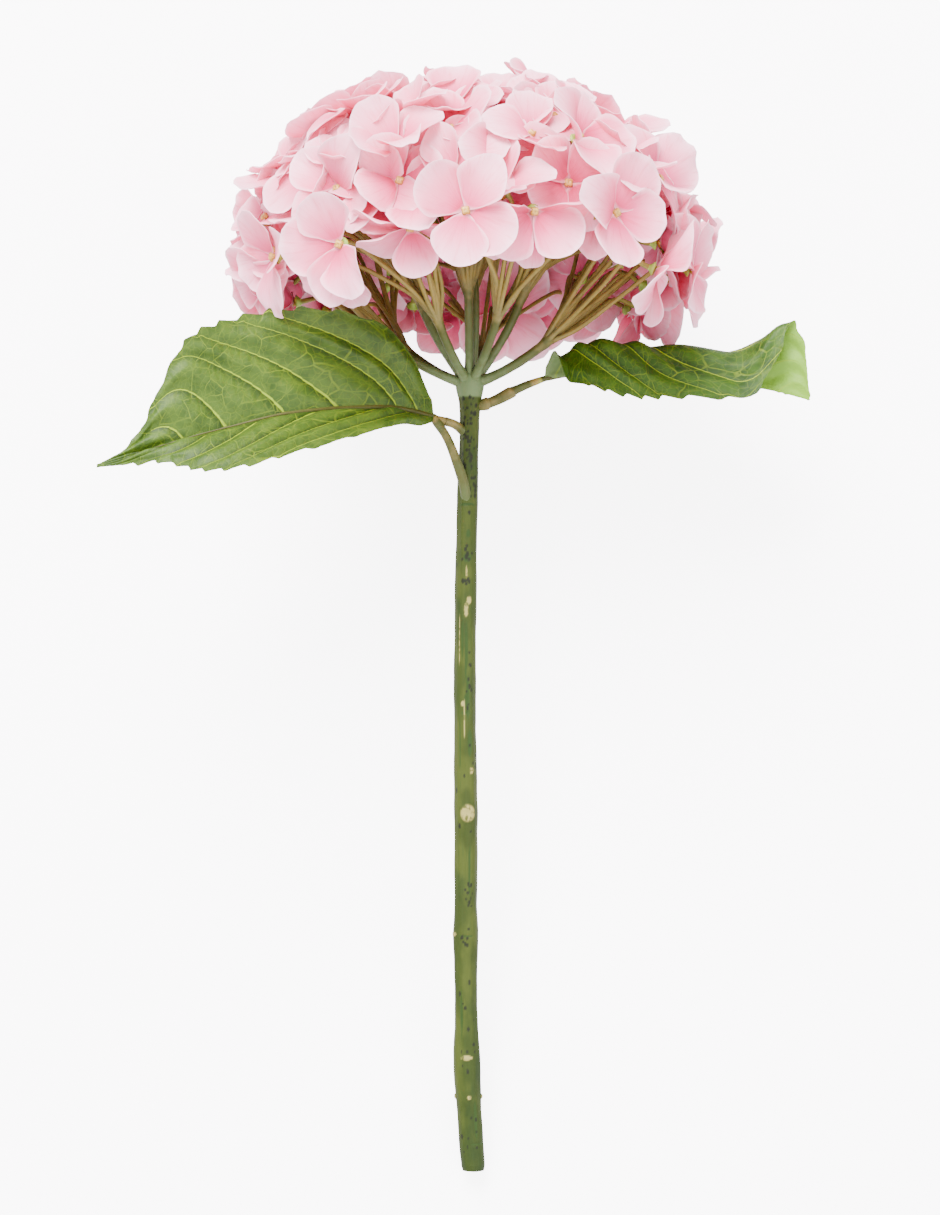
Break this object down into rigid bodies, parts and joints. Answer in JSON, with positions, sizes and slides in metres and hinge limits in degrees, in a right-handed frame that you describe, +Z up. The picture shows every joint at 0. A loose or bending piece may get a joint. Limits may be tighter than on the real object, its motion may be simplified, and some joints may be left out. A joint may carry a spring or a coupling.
{
  "type": "cut hydrangea",
  "caption": "Cut mophead hydrangea lying on its side: domed head of four-sepalled florets on branching rays, leaves below the head and a bare cut stem.",
  "frame": {"origin": "on the surface that the flower lies on, under the middle of its bounding box", "axes": "+Y along the stem towards the flower head, +Z up from the surface, +X to the right seen from above with the head away from the viewer"},
  "size_m": [0.2293, 0.3601, 0.1491],
  "materials": {
    "stem": "fresh green bark with dark specks, satin",
    "leaf": "green leaf blade with yellow-green veins, satin",
    "ray": "olive-green stalks turning tan towards the florets, satin",
    "sepal": "soft pink sepals, paler at the edge, matt and slightly translucent"
  },
  "bodies": {
    "root": {"stem": "stem", "leaf_left": "leaf", "leaf_right": "leaf", "ray_01": "ray", "ray_02": "ray", "ray_03": "ray", "ray_04": "ray", "ray_05": "ray", "ray_06": "ray", "ray_07": "ray", "ray_08": "ray", "ray_09": "ray", "ray_10": "ray", "ray_11": "ray", "ray_12": "ray", "floret_01": "sepal", "floret_02": "sepal", "floret_03": "sepal", "floret_04": "sepal", "floret_05": "sepal", "floret_06": "sepal", "floret_07": "sepal", "floret_08": "sepal", "floret_09": "sepal", "floret_10": "sepal", "floret_11": "sepal", "floret_12": "sepal", "floret_13": "sepal", "floret_14": "sepal", "floret_15": "sepal", "floret_16": "sepal", "floret_17": "sepal", "floret_18": "sepal", "floret_19": "sepal", "floret_20": "sepal", "floret_21": "sepal", "floret_22": "sepal", "floret_23": "sepal", "floret_24": "sepal", "floret_25": "sepal", "floret_26": "sepal", "floret_27": "sepal", "floret_28": "sepal", "floret_29": "sepal", "floret_30": "sepal", "floret_31": "sepal", "floret_32": "sepal", "floret_33": "sepal", "floret_34": "sepal", "floret_35": "sepal", "floret_36": "sepal", "floret_37": "sepal", "floret_38": "sepal", "floret_39": "sepal", "floret_40": "sepal", "floret_41": "sepal", "floret_42": "sepal", "floret_43": "sepal", "floret_44": "sepal", "floret_45": "sepal"}
  },
  "joints": []
}
